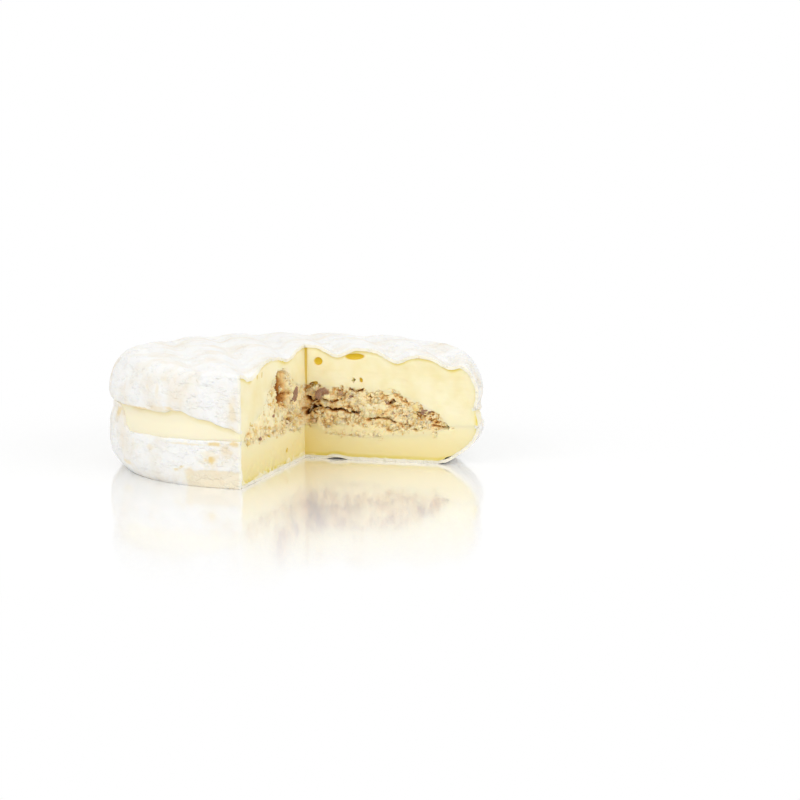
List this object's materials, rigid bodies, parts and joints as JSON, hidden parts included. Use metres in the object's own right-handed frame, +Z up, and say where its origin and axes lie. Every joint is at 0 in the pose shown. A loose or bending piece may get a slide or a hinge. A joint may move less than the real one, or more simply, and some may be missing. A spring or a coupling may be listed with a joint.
{
  "type": "filled soft cheese wheel",
  "caption": "Small round soft cheese with a white bloomy rind, split level and stuffed with chestnut filling, a quarter cut away to show its layers.",
  "frame": {"origin": "on the wheel's axis, in the flat of the base that the cheese rests on", "axes": "+Z up through the wheel; the missing quarter is between -Y and +X"},
  "size_m": [0.1201, 0.1174, 0.037],
  "materials": {
    "rind": "dry white bloomy mould rind, powdery and matte",
    "paste": "soft pale yellow cheese paste, moist satin",
    "chestnut_filling": "crumbly beige chestnut cream, matte with moist spots",
    "chestnut": "cooked chestnut, purple-brown, dull and mealy"
  },
  "bodies": {
    "root": {"lower_half": "rind", "upper_half": "rind", "filling": "chestnut_filling", "chestnut_lump": "chestnut", "chestnut_oval": "chestnut", "chestnut_corner": "chestnut", "chestnut_edge": "chestnut"}
  },
  "joints": []
}
